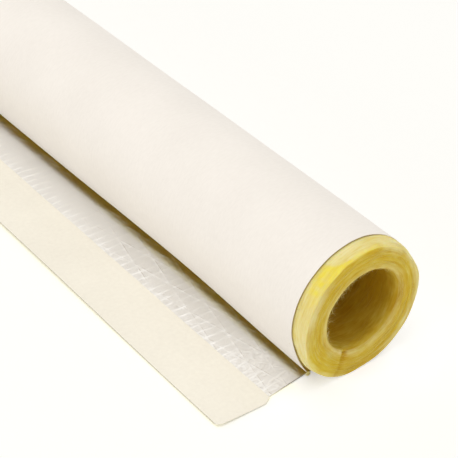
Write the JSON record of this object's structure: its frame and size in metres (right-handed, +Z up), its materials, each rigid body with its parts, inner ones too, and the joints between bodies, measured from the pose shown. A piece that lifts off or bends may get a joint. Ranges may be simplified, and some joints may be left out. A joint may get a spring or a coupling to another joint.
{
  "type": "fiberglass pipe insulation",
  "caption": "Slit glass-wool pipe insulation tube in a white paper and foil jacket, lying on its opened adhesive lap with the release strip in place.",
  "frame": {"origin": "on the bore's axis, halfway along the tube", "axes": "+Y along the tube away from the end in view, +Z up, the opened lap points towards -X"},
  "size_m": [0.1117, 0.9144, 0.069],
  "materials": {
    "glass_wool": "matte yellow glass wool, wound in layers, with loose fibres at the cut ends",
    "jacket_laminate": "smooth warm white kraft paper outside, matte aluminium foil over scrim inside",
    "release_paper": "smooth cream release paper"
  },
  "bodies": {
    "root": {"fiberglass_core": "glass_wool", "jacket": "jacket_laminate", "release_strip": "release_paper"}
  },
  "joints": []
}
